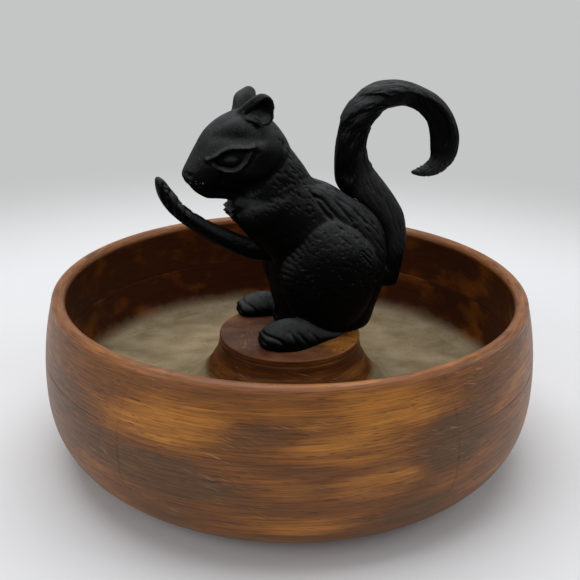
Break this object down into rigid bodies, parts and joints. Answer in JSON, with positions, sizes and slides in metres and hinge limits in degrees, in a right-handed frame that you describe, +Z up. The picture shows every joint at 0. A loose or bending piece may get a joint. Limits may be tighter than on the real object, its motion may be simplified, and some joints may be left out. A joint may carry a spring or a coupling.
{
  "type": "lever nutcracker press",
  "caption": "Cast squirrel lever nutcracker on the turned pedestal of a round wooden nut bowl; the tail is the handle and the cupped arms press the nut.",
  "frame": {"origin": "centre of the bowl's underside, on the table", "axes": "+Z up along the bowl's axis; the squirrel faces -X with its middle plane parallel to XZ; its left flank, the one the picture shows, faces -Y; the lever's pin lies along Y"},
  "size_m": [0.254, 0.254, 0.19],
  "materials": {
    "bowl_wood": "brown stained hardwood under worn satin lacquer",
    "pedestal_wood": "brown stained hardwood under satin lacquer",
    "black_iron": "matt black paint over a sand casting",
    "steel": "plain zinc plated steel"
  },
  "bodies": {
    "press_body": {"bowl_base_board": "bowl_wood", "bowl_middle_front_board": "bowl_wood", "bowl_middle_back_board": "bowl_wood", "bowl_middle_left_arc": "bowl_wood", "bowl_middle_right_arc": "bowl_wood", "bowl_rim_front_board": "bowl_wood", "bowl_rim_back_board": "bowl_wood", "bowl_rim_left_arc": "bowl_wood", "bowl_rim_right_arc": "bowl_wood", "pedestal": "pedestal_wood", "squirrel_near_half": "black_iron", "squirrel_far_half": "black_iron", "pivot_pin": "black_iron", "body_screw_neck": "steel", "body_screw_rump": "steel", "dowel_pin_head": "steel", "dowel_pin_belly": "steel", "base_screw_near": "steel", "base_washer_near": "steel", "base_screw_far": "steel", "base_washer_far": "steel"},
    "lever": {"tail_lever": "black_iron"}
  },
  "joints": [
    {"name": "lever_pivot", "type": "hinge", "parent": "press_body", "child": "lever", "pos_m": [0.046, 0.009, 0.09], "axis": [0, 1, 0], "range_deg": [0, 5]}
  ]
}
